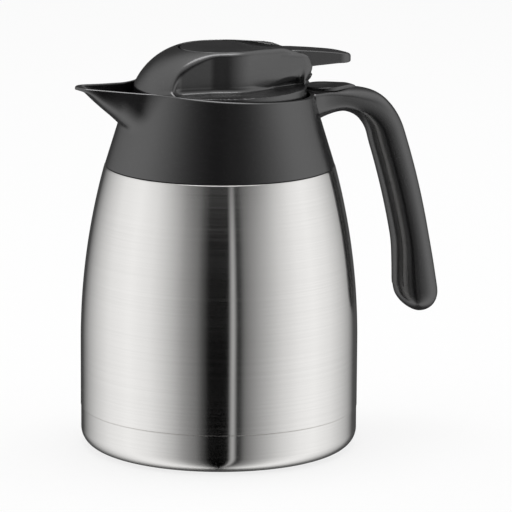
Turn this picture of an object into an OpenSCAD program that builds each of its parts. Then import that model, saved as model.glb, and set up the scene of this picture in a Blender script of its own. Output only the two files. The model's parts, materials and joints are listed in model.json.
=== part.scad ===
// Thermal carafe: a double-wall steel vessel, a moulded collar with its spout and handle, and a
// stopper whose rocking lever lifts a sprung pouring valve. Millimetres, +Z up.
// The origin is the centre of the base, on the surface that the carafe stands on.
// The handle points along +X and the spout along -X.

/* [Steel vessel] */
// Outside diameter of the straight part of the body
body_d = 145; // [138:1:154]
// Height at which the body starts to draw in
straight_h = 55; // [45:1:65]
// Height of the part that draws in, up to the collar
draw_in_h = 93.7; // [91:0.1:95]
// Radius of the long arc that draws the body in
draw_in_r = 354; // [330:1:400]
// Thickness of the outer steel sheet
shell_t = 0.8; // [0.6:0.1:1.2]
// Thickness of the inner flask's sheet
flask_t = 0.6; // [0.4:0.1:1]
// Vacuum gap between the two walls
vacuum_gap = 8; // [6:0.5:10]
// Height of the weld seam near the base
seam_z = 21; // [17:1:28]
// Step of the base shell at the seam
seam_step = 0.2; // [0.1:0.05:0.4]
// Radius of the rounded bottom corner
base_corner_r = 9; // [6:0.5:11]
// Height of the recess under the base
base_recess = 2.4; // [2.1:0.1:3.5]
// Thickness of the base plate
base_plate_t = 1; // [0.7:0.1:1]
// Width of the step between the flask's mouth and the throat
mouth_step = 6.4; // [6:0.1:7.4]
// Height of the flask's mouth above the collar's joint
mouth_rise = 19.3; // [18.8:0.1:19.6]

/* [Collar] */
// Height of the collar from its joint with the steel to its rim
collar_h = 39.6; // [38.8:0.1:40.3]
// Radius that the collar loses in each millimetre of height
collar_slope = 0.308; // [0.3:0.002:0.312]
// Fall of the rim in each millimetre towards the handle
rim_fall = 0.065; // [0.05:0.005:0.07]
// Thickness of the collar's wall
collar_wall = 1.7; // [1.5:0.1:2]
// How far the throat lies inside the lid's flange
throat_in = 5.5; // [4.9:0.1:5.7]
// Thickness of the throat's wall
throat_wall = 2.1; // [1.6:0.1:2.6]
// Depth of the shelf round the throat below the rim
shelf_drop = 10.3; // [9.8:0.1:10.7]
// How far the locking ribs stand in from the throat
rib_depth = 1.2; // [1:0.1:1.4]

/* [Spout] */
// Length of the spout from the rim to its tip
spout_len = 31.5; // [28.5:0.5:34.5]
// Half width of the spout
spout_half_w = 12.4; // [11.5:0.3:13]
// Height over which the spout's underside rounds up into its sides
keel_round = 9; // [8:0.5:10]
// Thickness of the spout's wall
spout_wall = 1.8; // [1.5:0.1:2.2]

/* [Handle] */
// Depth of the middle of the handle's arm below the rim
arm_drop = 9.3; // [8.3:0.5:10.3]
// Length of the arm before it bends
arm_len = 17.7; // [17:0.1:21]
// Radius of the bend's middle line
bend_r = 29; // [28:0.5:32]
// Angle of the bend
bend_angle = 72; // [70:0.5:74]
// Radius of the grip's long curve
grip_r = 410; // [380:5:450]
// Length of the grip below the bend
grip_len = 98; // [90:1:102]
// Thickness of the handle's wall
handle_wall = 2.4; // [2:0.1:2.8]
// Half width of the strip that closes the grip
strip_half_w = 8; // [7:0.5:8.5]
// Length of the thumb rest
rest_len = 28; // [26:0.5:30]
// Half width of the thumb rest
rest_half_w = 10.5; // [9.5:0.5:11]

/* [Stopper] */
// Gap between the lid's flange and the collar's rim
lid_gap = 0.9; // [0.7:0.1:1.2]
// Height of the flange's ledge above the collar's rim
ledge_rise = 1.4; // [1.1:0.1:1.7]
// Radius of the hub that carries the lever
hub_r = 24.5; // [24.2:0.1:25.5]
// Half width of the hood in front of the hub
flank_half_w = 22.5; // [21:0.5:23]
// Radius of the hood's rounding
hood_r = 35.4; // [35:0.1:36]
// Radius of the rear end of the bar
bar_end_r = 12.3; // [12:0.1:13]
// How far the bar reaches past the flange
bar_over = 7; // [6.6:0.1:7.3]
// Thickness of the lid's walls
lid_wall = 2.2; // [1.8:0.1:2.4]
// Gap between the plug and the flask's mouth
plug_gap = 1.6; // [1.5:0.1:2.5]
// Depth of the plug below the flask's mouth
plug_depth = 18; // [17:0.5:20]
// Thickness of the plug's walls
plug_wall = 2.2; // [1.8:0.1:2.6]
// Radius of the pouring port
port_r = 11; // [9:0.5:12]
// Height of the pouring window
window_h = 4.8; // [4:0.1:5]

/* [Lever and valve] */
// Height of the lever's round end above the ledge
lever_rise = 20.7; // [20:0.1:21.5]
// Radius of the lever's round end
disc_r = 21; // [20.5:0.1:21.3]
// Gap between the lever and its recess
lever_gap = 1; // [0.9:0.1:1.3]
// Half width of the lever's paddle
paddle_half_w = 8; // [7.4:0.1:8.2]
// Length of the lever from its pin to its tip
lever_len = 43.8; // [41:0.1:46]
// Depth of the dish in the round end
dish_depth = 1.8; // [1:0.1:2]
// Distance from the bar's rear end to the lever's pin
pivot_in = 23.9; // [22.9:0.1:24.9]
// Depth of the lever's pin below the top of the round end
pivot_drop = 7.4; // [7:0.1:7.6]
// Radius of the lever's pin
pivot_r = 1.5; // [1.2:0.1:1.8]
// Radius of the valve's stem
stem_r = 3; // [2.6:0.1:3.1]
// Radius of the valve's plate
valve_r = 14; // [13:0.5:16]
// Wire diameter of the return spring
wire_d = 1; // [0.8:0.1:1.2]
// Turns of the return spring
spring_turns = 7; // [5:1:8]

/* [Hidden] */
steel = "silver";
charcoal = "dimgray";
silicone = "gainsboro";

fit_gap = 0.05;   // running fits and pieces that lock into one another
seat_gap = 0.3;   // between a piece that lifts off and what it rests on

// Steel vessel
body_r = body_d / 2;
collar_z = straight_h + draw_in_h;
mouth_z = collar_z + mouth_rise;
rim_z = collar_z + collar_h;
arc_steps = 16;
ledge_w = 3.6;
ledge_top_z = collar_z - seat_gap;
function arc_r(z) = body_r - draw_in_r + sqrt(pow(draw_in_r, 2) - pow(z - straight_h, 2));
shoulder_r = arc_r(collar_z);
foot_in_r = body_r - seam_step - base_corner_r - 3.6;
flask_r = body_r - shell_t - vacuum_gap;
flask_base_z = base_recess + vacuum_gap + 3;
flask_corner_r = 14;

// Collar
collar_r0 = shoulder_r - 0.2;
function collar_r(z) = collar_r0 - collar_slope * (z - collar_z);
rim_r = collar_r(rim_z);
rim_high = rim_z + 7.7;
flange_r = rim_r - collar_wall - lid_gap;
throat_r = flange_r - throat_in;
mouth_r = throat_r - mouth_step;
neck_r = mouth_r + flask_t + 0.8 + shell_t;
shelf_z = rim_z - shelf_drop;
spout_reach = rim_r + spout_len;
function rim_at(x) = rim_z - rim_fall * x;
gasket_t = 1.6;
throat_floor_z = mouth_z + gasket_t;
throat_floor_t = 1.8;
throat_out_r = throat_r + throat_wall;
shelf_t = 2;
lug_count = 3;
lug_angle = 40;
lug_t = 1.7;
rib_z = shelf_z - 2.2;

// Handle
arm_z = rim_z - arm_drop;
arm_x0 = collar_r(arm_z) - 3.3;
bend_x = arm_x0 + arm_len;
bend_len = bend_r * bend_angle * PI / 180;
grip_turn = grip_len / grip_r * 180 / PI;
handle_len = arm_len + bend_len + grip_len;
toe_round = 12;
tongue_x1 = bend_x + 2;
tongue_half_w = 5.6;
tongue_half_h = 2.8;
screw_xs = [arm_x0 + 8.5, arm_x0 + 15.5];
screw_shank_r = 1.3;
screw_head_r = 2.7;
rest_z = rim_z - 0.9;
rest_t = 1.9;
rest_tip_r = 3;
rest_dish = 1.1;
rest_dish_r = 34;
rest_x0 = collar_r(rim_at(arm_x0)) - 1.4;

// Stopper
ledge_z = rim_z + ledge_rise;
disc_top_z = ledge_z + lever_rise;
skirt_z = ledge_z - 6.1;
flange_t = 2.2;
pocket_front = flange_r - 9.9;
pocket_r = 6.5;
bar_crest_x = 16;
bar_crest_z = disc_top_z + 0.6;
bar_tail_x = flange_r + bar_over;
bar_end_x = bar_tail_x - bar_end_r;
hood_cz = bar_crest_z + 0.8 - hood_r;
hood_cr = flange_r - sqrt(pow(hood_r, 2) - pow(ledge_z - hood_cz, 2)) - 0.3;
notch_h = 5;
notch_x1 = bar_tail_x - 10.4;
notch_depth = 3;
step_z = throat_floor_z + throat_floor_t + 0.4;
plug_r = mouth_r - plug_gap;
plug_z = mouth_z - plug_depth;
thread_r = throat_r - rib_depth - seat_gap - 1.4;
lug_r = throat_r - rib_depth - seat_gap;
plug_floor_t = 2.5;
deck_z = skirt_z + 0.4;
deck_t = flange_z() - deck_z - 0.1;
function flange_z() = ledge_z - flange_t;
deck_r = flange_r - 2.4;
groove_z = mouth_z - 8.5;
groove_h = 4;
groove_depth = 1.3;
seal_bite = mouth_r - seat_gap;
cover_screw_r = flange_r - 5.7;
bush_r = 5.6;
bush_top_z = deck_z + 7;
o_ring_r = 0.85;
o_ring_z = deck_z + 3.5;

// Lever and valve
recess_r = disc_r + lever_gap;
pivot_x = bar_tail_x - pivot_in;
pivot_z = disc_top_z - pivot_drop;
lever_reach = pivot_x + lever_len;
neck_x = pivot_x + 2;
neck_half_w = paddle_half_w - 0.4;
slot_half_w = paddle_half_w + lever_gap;
disc_t = 4.2;
recess_z = disc_top_z - disc_t - 2.6;
slot_z = disc_top_z - 15.4;
link_z = disc_top_z - 9.4;
link_pin_r = 1.2;
tongue_t = 6;
ear_t = 2.2;
ear_r = 2.7;
ear_y = tongue_t / 2 + 0.5;
seat_z = plug_z + plug_floor_t;
valve_gasket_t = 1.5;
plate_z = seat_z + seat_gap + valve_gasket_t;
plate_t = 2;
hub_top_z = plate_z + plate_t + 1.5;
retainer_t = 1.5;
retainer_r = port_r - 2.5;
coil_r = stem_r + wire_d / 2 + 1.6;

// Two circles on the X axis joined by their common tangents, the second at a distance d
module tapered_bar(r1, r2, d) {
    a = asin((r1 - r2) / d);
    q1 = r1 - 0.02;
    q2 = r2 - 0.02;
    union() {
        circle(r1, $fn = 96);
        translate([d, 0]) circle(r2, $fn = 64);
        polygon([
            [q1 * sin(a), q1 * cos(a)], [d + q2 * sin(a), q2 * cos(a)],
            [d + q2 * sin(a), -q2 * cos(a)], [q1 * sin(a), -q1 * cos(a)]
        ]);
    }
}

module tube_ring(r_in, r_out, z0, z1) {
    translate([0, 0, z0]) difference() {
        cylinder(h = z1 - z0, r = r_out, $fn = 96);
        translate([0, 0, -1]) cylinder(h = z1 - z0 + 2, r = r_in, $fn = 96);
    }
}

// A solid through a list of rings that have the same number of points
module skin(rings) {
    n = len(rings[0]);
    m = len(rings);
    polyhedron(
        points = [for (ring = rings) each ring],
        faces = concat(
            [[for (i = [0 : n - 1]) i]],
            [for (k = [0 : m - 2], i = [0 : n - 1])
                let (a = k * n + i, b = k * n + (i + 1) % n) [a, a + n, b]],
            [for (k = [0 : m - 2], i = [0 : n - 1])
                let (a = k * n + i, b = k * n + (i + 1) % n) [b, a + n, b + n]],
            [[for (i = [n - 1 : -1 : 0]) (m - 1) * n + i]]
        )
    );
}

// ---------------------------------------------------------------- steel vessel

function arc_path(inset) = [for (i = [0 : arc_steps])
    let (z = straight_h + (ledge_top_z - straight_h) * i / arc_steps) [arc_r(z) - inset, z]];

module outer_shell() {
    in_r = shoulder_r - ledge_w;
    outside = concat(
        [[body_r, seam_z]], arc_path(0),
        [[in_r, ledge_top_z], [in_r, ledge_top_z + 3.6], [in_r - 6.3, mouth_z - 9.5],
         [neck_r + 6, mouth_z - 6], [neck_r + 1, mouth_z - 4], [neck_r, mouth_z - 2], [neck_r, mouth_z],
         [mouth_r + flask_t, mouth_z]]
    );
    inside = concat(
        [[body_r - shell_t, seam_z]],
        [for (p = arc_path(shell_t)) if (p[1] < ledge_top_z - shell_t) p],
        [[shoulder_r - shell_t, ledge_top_z - shell_t], [in_r - shell_t, ledge_top_z - shell_t],
         [in_r - shell_t, ledge_top_z + 3.2], [in_r - 6.8, mouth_z - 10.2],
         [neck_r + 5.4, mouth_z - 6.8], [neck_r + 0.2, mouth_z - 4.6], [neck_r - shell_t, mouth_z - 2.4],
         [neck_r - shell_t, mouth_z - shell_t], [mouth_r + flask_t, mouth_z - shell_t]]
    );
    color(steel) rotate_extrude($fn = 128)
        polygon(concat(outside, [for (i = [len(inside) - 1 : -1 : 0]) inside[i]]));
}

function corner(cr, cz, r, a0, a1, n = 6) =
    [for (i = [0 : n]) let (a = a0 + (a1 - a0) * i / n) [cr + r * cos(a), cz + r * sin(a)]];

module base_shell() {
    r = body_r - seam_step;
    t = shell_t;
    c = base_corner_r;
    color(steel) rotate_extrude($fn = 128) polygon(concat(
        [[2, base_recess], [foot_in_r, base_recess], [foot_in_r, 0]],
        corner(r - c, c, c, -90, 0),
        [[r, seam_z], [r - t, seam_z]],
        corner(r - c, c, c - t, 0, -90),
        [[foot_in_r + t, t], [foot_in_r + t, base_recess + t], [2, base_recess + t]]
    ));
}

module base_plate() {
    color(steel) cylinder(h = base_plate_t, r = foot_in_r - fit_gap, $fn = 128);
}

module vacuum_seal() {
    color("gray") {
        translate([0, 0, base_recess - 1.1]) cylinder(h = 1.1, r = 4.5, $fn = 48);
        translate([0, 0, base_recess - 0.5]) cylinder(h = shell_t + 0.9, r = 2 - fit_gap, $fn = 48);
    }
}

function flask_path(t) = concat(
    [[0, flask_base_z + t]],
    corner(flask_r - flask_corner_r, flask_base_z + flask_corner_r, flask_corner_r - t, -90, 0),
    [for (i = [0 : arc_steps])
        let (z = straight_h + (collar_z - 9 - straight_h) * i / arc_steps)
            [arc_r(z) - shell_t - vacuum_gap - t, z]],
    [[mouth_r + 18.5 + flask_t - t, mouth_z - 22 - t / 2], [mouth_r + 12.5 + flask_t - t, mouth_z - 16 - t / 2],
     [mouth_r + 5 + flask_t - t, mouth_z - 11.5 - t / 2], [mouth_r + 0.8 + flask_t - t, mouth_z - 8.5],
     [mouth_r + flask_t - t, mouth_z - 6], [mouth_r + flask_t - t, mouth_z]]
);

module inner_flask() {
    inside = flask_path(flask_t);
    color(steel) rotate_extrude($fn = 128)
        polygon(concat(flask_path(0), [for (i = [len(inside) - 1 : -1 : 0]) inside[i]]));
}

// ---------------------------------------------------------------- collar and spout

// Sections of the spout: distance from the axis, half width at the rim, height of the keel
function keel_at(x) = rim_z + lookup(x, [
    [rim_r - 7.5, -24.6], [rim_r + 4.9, -14.4], [spout_reach - 8.3, 0.7], [spout_reach - 4, 2],
    [spout_reach, 2.7]
]);
function spout_w(x) = spout_half_w + lookup(x, [
    [rim_r - 9.5, 13.1], [rim_r - 5.5, 7.8], [rim_r - 1.5, 4], [rim_r + 2.5, 1.6], [rim_r + 6.5, 0.6],
    [rim_r + 12.5, 0], [spout_reach - 13, -0.6], [spout_reach - 9, -1.6], [spout_reach - 6, -3],
    [spout_reach - 3.5, -5], [spout_reach - 1.2, -8], [spout_reach, -11]
]);
spout_xs = concat(
    [for (d = [-9.5 : 2 : 10.5]) rim_r + d], [for (k = [0.46, 0.59, 0.71, 0.8]) rim_r + spout_len * k],
    [spout_reach - 4, spout_reach - 2.4, spout_reach - 1.2, spout_reach]
);

function spout_ring(x, inset, top) =
    let (
        zk = min(keel_at(x) + inset * 1.3, top - 1),
        w = max(spout_w(x) - inset, 0.4),
        h = max(min(keel_round, rim_at(-x) - zk - 0.4), 0.4),
        side = concat([for (a = [6 : 12 : 90]) [w * sin(a), zk + h * (1 - cos(a))]], [[w, top]])
    )
    concat(
        [for (p = side) [-x, -p[0], p[1]]],
        [for (i = [len(side) - 1 : -1 : 0]) [-x, side[i][0], side[i][1]]]
    );

module spout_solid() {
    skin([for (x = spout_xs) spout_ring(x, 0, rim_high)]);
}

module spout_channel() {
    skin([for (x = spout_xs) if (x <= spout_reach - 4) spout_ring(x, spout_wall, rim_high + 1)]);
    skin([for (x = [spout_reach - 4, spout_reach - 2]) spout_ring(x, spout_wall, rim_high + 1)]);
}

module above_rim() {
    translate([0, 0, rim_z]) rotate([0, atan(rim_fall), 0]) translate([-120, -80, 0]) cube([240, 160, 30]);
}

module cone_to(inset, z0, z1) {
    translate([0, 0, z0])
        cylinder(h = z1 - z0, r1 = collar_r(z0) - inset, r2 = collar_r(z1) - inset, $fn = 128);
}

module arc_lugs(r_in, r_out, z0, h) {
    for (i = [0 : lug_count - 1])
        rotate([0, 0, 360 / lug_count * (i + 0.5) - lug_angle / 2])
            rotate_extrude(angle = lug_angle, $fn = 96)
                translate([r_in, z0]) square([r_out - r_in, h]);
}

module collar() {
    color(charcoal) {
        difference() {
            union() {
                cone_to(0, collar_z, rim_high);
                spout_solid();
            }
            cone_to(collar_wall, collar_z - 1, rim_high + 1);
            difference() {
                spout_channel();
                translate([0, 0, collar_z]) cylinder(h = shelf_z - collar_z, r = 70, $fn = 64);
            }
            above_rim();
        }
        // shelf, throat and the ring that sits on the flask's mouth
        rotate_extrude($fn = 128) polygon([
            [mouth_r + flask_t + 0.4, throat_floor_z], [throat_out_r, throat_floor_z],
            [throat_out_r, shelf_z - shelf_t], [collar_r(shelf_z - shelf_t) - 0.5, shelf_z - shelf_t],
            [collar_r(shelf_z) - 0.5, shelf_z], [throat_r, shelf_z],
            [throat_r, throat_floor_z + throat_floor_t],
            [mouth_r + flask_t + 0.4, throat_floor_z + throat_floor_t]
        ]);
        arc_lugs(throat_r - rib_depth, throat_r + 0.2, rib_z, lug_t);
        // tongue that the handle's arm is screwed to
        difference() {
            translate([0, -tongue_half_w, arm_z - tongue_half_h])
                cube([tongue_x1, 2 * tongue_half_w, 2 * tongue_half_h]);
            cone_to(0.6, arm_z - 10, arm_z + 10);
            for (x = screw_xs) translate([x, 0, arm_z - 10]) cylinder(h = 20, r = screw_shank_r, $fn = 32);
        }
    }
}

module mouth_gasket() {
    color(silicone) tube_ring(mouth_r + flask_t / 2, neck_r + 2, mouth_z, throat_floor_z);
}

module shoulder_seal() {
    color("black")
        tube_ring(shoulder_r - ledge_w + fit_gap, shoulder_r - ledge_w + 0.8, ledge_top_z, ledge_top_z + 2.4);
}

// ---------------------------------------------------------------- handle

// Half thickness and half width of the handle along its middle line
function half_t(u) = lookup(u, [
    [0, 10], [arm_len * 0.45, 8.2], [arm_len * 0.73, 7.2], [arm_len, 7], [arm_len + 18, 8.8], [arm_len + bend_len, 9.5],
    [handle_len - 40, 10.3], [handle_len - 15, 12], [handle_len, 12]
]);
function half_w(u) = lookup(u, [
    [0, 14], [arm_len * 0.45, 12], [arm_len * 0.79, 11], [arm_len + 18, 11.4], [arm_len + bend_len, 12], [handle_len - 15, 12.8],
    [handle_len, 12.8]
]);
function toe(u) = u < handle_len - toe_round ? 1 :
    max(0.12, sqrt(max(0, 1 - pow((u - handle_len + toe_round) / toe_round, 2))));

// Direction below the horizontal, and place [x, z], at a length u along the middle line
function dive(u) = u < arm_len ? 0 :
    u < arm_len + bend_len ? (u - arm_len) / bend_len * bend_angle :
    bend_angle + (u - arm_len - bend_len) / grip_len * grip_turn;
function spine(u) = u < arm_len ? [arm_x0 + u, arm_z] :
    u < arm_len + bend_len ?
        [bend_x + bend_r * sin(dive(u)), arm_z - bend_r + bend_r * cos(dive(u))] :
    [
        bend_x + bend_r * sin(bend_angle) + grip_r * (sin(dive(u)) - sin(bend_angle)),
        arm_z - bend_r + bend_r * cos(bend_angle) - grip_r * (cos(bend_angle) - cos(dive(u)))
    ];

// Rounded section: the half that faces the fingers is flatter than the outer half
function grip_point(a, b, t) =
    let (n = cos(t) < 0 ? 2.8 : 2.2)
    [sign(cos(t)) * a * pow(abs(cos(t)), 2 / n), sign(sin(t)) * b * pow(abs(sin(t)), 2 / n)];
function place(u, p) =
    let (c = spine(u), d = dive(u))
    [c[0] + p[0] * sin(d), p[1], c[1] + p[0] * cos(d)];

function grip_ring(u, in_t, in_w, sides) =
    let (k = toe(u), drop = 7 - half_t(min(u, arm_len)))
    [for (i = [0 : sides - 1])
        let (q = grip_point((half_t(u) - in_t) * k, (half_w(u) - in_w) * k, -360 * i / sides))
        place(u, [q[0] + drop, q[1]])];

handle_us = concat(
    [for (k = [0 : 4]) arm_len * k / 4.4], [for (i = [0 : 8]) arm_len + bend_len * i / 8],
    [for (i = [1 : 7]) arm_len + bend_len + (grip_len - toe_round) * i / 7],
    [for (a = [15 : 15 : 75]) handle_len - toe_round * (1 - sin(a))], [handle_len]
);

module handle_solid() {
    skin([for (u = handle_us) grip_ring(u, 0, 0, 32)]);
}

module handle_hollow() {
    skin([for (u = handle_us) if (u < handle_len - toe_round) grip_ring(u, handle_wall, 4.6, 20)]);
}

// Slot along the inside of the grip that the closing strip lies in
module strip_space(gap) {
    u0 = arm_len + bend_len * 0.55;
    u1 = handle_len - toe_round - 4;
    w = strip_half_w + gap;
    skin([for (i = [0 : 12])
        let (u = u0 - gap + (u1 - u0 + 2 * gap) * i / 12, a = half_t(u), x1 = -a + 2 + gap)
        [place(u, [-a - 3, w]), place(u, [x1, w]), place(u, [x1, -w]), place(u, [-a - 3, -w])]]);
}

module handle() {
    color(charcoal) difference() {
        union() {
            difference() {
                handle_solid();
                handle_hollow();
            }
            for (x = screw_xs) translate([x, 0, arm_z + tongue_half_h + fit_gap])
                cylinder(h = 5.6 - tongue_half_h, r = 4, $fn = 32);
        }
        strip_space(fit_gap);
        cone_to(-fit_gap, collar_z, rim_high + 4);
        translate([arm_x0, -20, rest_z - rest_t - seat_gap]) cube([40, 40, 10]);
        for (x = screw_xs) translate([x, 0, arm_z]) {
            cylinder(h = 20, r = screw_shank_r + 0.3, $fn = 32);
            translate([0, 0, 4.4]) cylinder(h = 20, r = screw_head_r + 0.3, $fn = 32);
        }
    }
}

module handle_inner_strip() {
    color(charcoal) intersection() {
        handle_solid();
        strip_space(0);
    }
}

module handle_screws() {
    color("lightgray") for (x = screw_xs) translate([x, 0, arm_z]) {
        translate([0, 0, -tongue_half_h]) cylinder(h = tongue_half_h + 4.5, r = screw_shank_r - fit_gap, $fn = 32);
        translate([0, 0, 4.45]) cylinder(h = 1.3, r = screw_head_r, $fn = 32);
    }
}

module thumb_rest() {
    z0 = rest_z - rest_t - seat_gap + 0.1;
    d = rest_len - rest_half_w - rest_tip_r;
    lean = 90 - asin((rest_half_w - rest_tip_r) / d);
    color(charcoal) difference() {
        translate([rest_x0 + rest_half_w, 0, z0]) linear_extrude(height = rest_z - z0)
            polygon(concat(corner(0, 0, rest_half_w, lean, 360 - lean, 32), corner(d, 0, rest_tip_r, -lean, lean)));
        translate([rest_x0 + rest_half_w, 0, rest_z + rest_dish_r - rest_dish]) sphere(r = rest_dish_r, $fn = 96);
    }
}

// ---------------------------------------------------------------- stopper

module stopper_gasket() {
    color(silicone)
        tube_ring(plug_r - groove_depth + fit_gap, seal_bite, groove_z + fit_gap, groove_z + groove_h - fit_gap);
}

module stopper_body() {
    color("black") difference() {
        union() {
            rotate_extrude($fn = 128) polygon([
                [port_r, plug_z], [plug_r - 1, plug_z], [plug_r, plug_z + 1], [plug_r, groove_z],
                [plug_r - groove_depth, groove_z], [plug_r - groove_depth, groove_z + groove_h],
                [plug_r, groove_z + groove_h], [plug_r, step_z], [thread_r, step_z],
                [thread_r, deck_z], [deck_r, deck_z], [deck_r, deck_z + deck_t], [bush_r, deck_z + deck_t],
                [bush_r, bush_top_z], [stem_r + fit_gap, bush_top_z],
                [stem_r + fit_gap, o_ring_z + o_ring_r], [stem_r + 2 * o_ring_r + 0.1, o_ring_z + o_ring_r],
                [stem_r + 2 * o_ring_r + 0.1, o_ring_z - o_ring_r], [stem_r + fit_gap, o_ring_z - o_ring_r],
                [stem_r + fit_gap, deck_z], [thread_r - plug_wall, deck_z],
                [thread_r - plug_wall, step_z + plug_wall], [plug_r - groove_depth - plug_wall, step_z + plug_wall],
                [plug_r - groove_depth - plug_wall, seat_z], [port_r, seat_z]
            ]);
            arc_lugs(thread_r - 0.2, lug_r, rib_z - lug_t - 0.4, lug_t);
        }
        // pouring window towards the spout
        rotate([0, 0, 180 - 36]) rotate_extrude(angle = 72, $fn = 96)
            translate([thread_r - plug_wall - 1, deck_z - window_h - 0.4]) square([plug_wall + 3, window_h]);
        for (a = [0, 120, 240]) rotate([0, 0, a]) translate([cover_screw_r, 0, deck_z - 1])
            cylinder(h = deck_t + 2, r = screw_shank_r + 0.2, $fn = 32);
    }
}

// Plan of the raised middle of the lid: round hub, hood in front and tapering bar behind
module lid_plan(inset) {
    tapered_bar(hub_r - inset, bar_end_r - inset, bar_end_x);
    // the flanks of the hood turn outwards at the front end of each finger pocket
    side = corner(pocket_r - pocket_front, flank_half_w + pocket_r, pocket_r + inset, 270, 180, 8);
    half = concat(
        [[0, flank_half_w - inset]], side, [[-pocket_front - inset, flange_r], [-flange_r, flange_r]]
    );
    polygon(concat(half, [for (i = [len(half) - 1 : -1 : 0]) [half[i][0], -half[i][1]]]));
}

module hood(inset) {
    r = hood_r - inset;
    low = flange_z() - 1;
    a0 = asin((ledge_z - hood_cz) / r) - 3;
    arc = [for (i = [0 : 14]) let (a = a0 + (90 - a0) * i / 14) [hood_cr + r * cos(a), hood_cz + r * sin(a)]];
    rotate_extrude($fn = 128) polygon(concat([[0, low], [arc[0][0], low]], arc, [[0, hood_cz + r]]));
}

module bar_side(inset) {
    x1 = bar_tail_x - inset;
    top = bar_crest_z - inset;
    rotate([90, 0, 0]) linear_extrude(height = 60, center = true) polygon([
        [-2, flange_z() - 1], [-2, top - 1.6], [bar_crest_x, top], [pivot_x, top - 2.2],
        [bar_tail_x - 12, top - 3.7], [x1 - 5.6, top - 4.4], [x1 - 4, top - 5], [x1 - 2.3, top - 6.6],
        [x1 - 1.1, top - 8.8], [x1, bar_crest_z - 12], [x1 - 0.4, bar_crest_z - 14],
        [x1 - 1.2, bar_crest_z - 16], [x1 - 1.8, bar_crest_z - 17], [x1 - 3, bar_crest_z - 19],
        [x1 - 4.6, bar_crest_z - 20.5], [x1 - 6, ledge_z + 0.1], [flange_r - 3, ledge_z - 0.5],
        [flange_r - 3, flange_z() - 1]
    ]);
}

module raised(inset) {
    intersection() {
        translate([0, 0, flange_z() - 1]) linear_extrude(height = 30) lid_plan(inset);
        union() {
            hood(inset);
            bar_side(inset);
        }
    }
}

module lever_recess(grow) {
    translate([0, 0, recess_z - grow]) linear_extrude(height = 30)
        tapered_bar(recess_r + grow, slot_half_w + grow, neck_x);
    translate([pivot_x - 6 - grow, -slot_half_w - grow, slot_z - grow])
        cube([bar_tail_x, 2 * (slot_half_w + grow), 30]);
}

// Wall that closes the inside of the bar behind its finger notches
module notch_backing() {
    translate([0, 0, flange_z()]) linear_extrude(height = ledge_z - flange_z() + notch_h + lid_wall)
        difference() {
            tapered_bar(hub_r, bar_end_r, bar_end_x);
            tapered_bar(hub_r - notch_depth - lid_wall, bar_end_r - notch_depth - lid_wall, bar_end_x);
            translate([-hub_r, -hub_r]) square([hub_r + bar_crest_x - lid_wall, 2 * hub_r]);
        }
}

module stopper_cover() {
    color(charcoal) difference() {
        union() {
            difference() {
                union() {
                    translate([0, 0, skirt_z]) cylinder(h = ledge_z - skirt_z, r = flange_r, $fn = 128);
                    raised(0);
                }
                translate([0, 0, skirt_z - 1])
                    cylinder(h = flange_z() - skirt_z + 1, r = flange_r - 2, $fn = 128);
                raised(lid_wall);
            }
            intersection() {
                raised(0);
                union() {
                    lever_recess(lid_wall - 0.2);
                    for (s = [-1, 1]) translate([pivot_x, s * (slot_half_w + 3), pivot_z])
                        rotate([90, 0, 0]) cylinder(h = 6, r = 4, center = true, $fn = 48);
                    notch_backing();
                }
            }
            for (a = [0, 120, 240]) rotate([0, 0, a]) translate([cover_screw_r, 0, flange_z() - 0.1])
                cylinder(h = 1.5, r = 3.4, $fn = 32);
        }
        lever_recess(0);
        // window for the link between lever and stem
        translate([-6, -8, recess_z - 4]) cube([12, 16, 6]);
        translate([pivot_x, 0, pivot_z]) rotate([90, 0, 0])
            cylinder(h = 2 * (slot_half_w + 3), r = pivot_r + 0.02, center = true, $fn = 48);
        // wedge-shaped finger notch at the foot of the bar
        difference() {
            rotate([90, 0, 0]) linear_extrude(height = 60, center = true) polygon([
                [bar_crest_x + 1, ledge_z], [notch_x1, ledge_z], [notch_x1, ledge_z + notch_h]
            ]);
            translate([0, 0, ledge_z - 1]) linear_extrude(height = 20)
                tapered_bar(hub_r - notch_depth, bar_end_r - notch_depth, bar_end_x);
        }
        for (a = [0, 120, 240]) rotate([0, 0, a]) translate([cover_screw_r, 0, skirt_z])
            cylinder(h = flange_z() - skirt_z + 1.4, r = screw_shank_r, $fn = 32);
    }
}

module cover_screws() {
    color("lightgray") for (a = [0, 120, 240]) rotate([0, 0, a]) translate([cover_screw_r, 0, 0]) {
        translate([0, 0, deck_z - 1.6]) cylinder(h = 1.6 - fit_gap, r = screw_head_r - 0.3, $fn = 32);
        translate([0, 0, deck_z - 0.5])
            cylinder(h = flange_z() + 1.2 - deck_z + 0.5, r = screw_shank_r - fit_gap, $fn = 32);
    }
}

module stem_seal() {
    color(silicone) translate([0, 0, o_ring_z]) rotate_extrude($fn = 64)
        translate([stem_r + o_ring_r + fit_gap, 0]) circle(r = o_ring_r - fit_gap, $fn = 24);
}

// ---------------------------------------------------------------- lever and valve

module lever_side() {
    x1 = lever_reach;
    t = disc_top_z;
    rotate([90, 0, 0]) linear_extrude(height = 60, center = true) polygon([
        [-disc_r - 1, t - disc_t], [-disc_r - 1, t], [disc_r - 12, t], [disc_r - 1, t - 0.8],
        [pivot_x, t - 2], [pivot_x + 10, t - 3.1], [pivot_x + 23, t - 4.3], [x1 - 3, t - 6.6], [x1 - 1, t - 7.1],
        [x1, t - 8.2], [x1, t - 9.8], [x1 - 1, t - 10.7], [x1 - 9, t - 10.4], [pivot_x + 20, t - 11.2],
        [pivot_x + 10, t - 11.4], [pivot_x + 4, t - 10.8], [pivot_x - 4, t - 10.8], [pivot_x - 6, t - disc_t]
    ]);
}

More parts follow.
